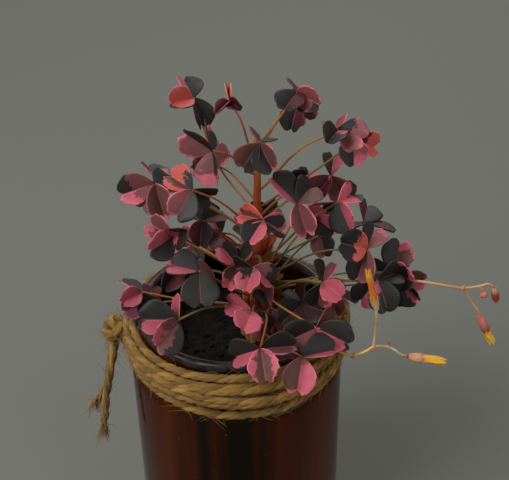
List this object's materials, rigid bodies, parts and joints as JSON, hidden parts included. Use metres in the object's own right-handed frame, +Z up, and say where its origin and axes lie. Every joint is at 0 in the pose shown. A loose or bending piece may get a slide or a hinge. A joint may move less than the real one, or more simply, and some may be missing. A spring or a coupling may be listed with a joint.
{
  "type": "potted oxalis vulcanicola",
  "caption": "Purple and pink shamrock-leaved house plant with closed yellow flowers, growing in a dark amber glass jar whose neck is wound with jute twine.",
  "frame": {"origin": "centre of the jar's flat base, on the surface that it stands on", "axes": "+Z up along the jar's axis, -Y toward the picture's viewer, +X to the viewer's right"},
  "size_m": [0.1446, 0.092, 0.1936],
  "materials": {
    "amber_glass": "glossy dark amber glass",
    "soil": "dark crumbly potting soil",
    "stem": "reddish brown woody stem",
    "stalk": "peach and tan soft stalk",
    "leaf": "satin leaf, dark purple, mauve, pink and coral areas",
    "petal": "soft yellow petal",
    "bud": "red brown bud",
    "jute": "rough jute twine"
  },
  "bodies": {
    "root": {"glass_jar": "amber_glass", "potting_soil": "soil", "crown_and_main_stem": "stem", "leaf_01": "leaf", "leaf_02": "leaf", "leaf_03": "leaf", "leaf_04": "leaf", "leaf_05": "leaf", "leaf_06": "leaf", "leaf_07": "leaf", "leaf_08": "leaf", "leaf_09": "leaf", "leaf_10": "leaf", "leaf_11": "leaf", "leaf_12": "leaf", "leaf_13": "leaf", "leaf_14": "leaf", "leaf_15": "leaf", "leaf_16": "leaf", "leaf_17": "leaf", "leaf_18": "leaf", "leaf_19": "leaf", "leaf_20": "leaf", "leaf_21": "leaf", "leaf_22": "leaf", "leaf_23": "leaf", "leaf_24": "leaf", "leaf_25": "leaf", "leaf_26": "leaf", "leaf_27": "leaf", "leaf_28": "leaf", "leaf_29": "leaf", "leaf_30": "leaf", "leaf_31": "leaf", "leaf_32": "leaf", "leaf_33": "leaf", "leaf_34": "leaf", "leaf_35": "leaf", "leaf_36": "leaf", "leaf_37": "leaf", "leaf_38": "leaf", "leaf_39": "leaf", "leaf_40": "leaf", "leaf_41": "leaf", "leaf_42": "leaf", "leaf_43": "leaf", "leaf_44": "leaf", "leaf_45": "leaf", "leaf_46": "leaf", "flower_stalk_long": "stalk", "flower_stalk_low": "stalk", "flower_hanging": "petal", "flower_upright": "petal", "flower_side": "petal", "bud_large": "bud", "bud_small": "bud", "twine_winding": "jute", "twine_knot": "jute", "twine_end_front": "jute", "twine_end_back": "jute"}
  },
  "joints": []
}
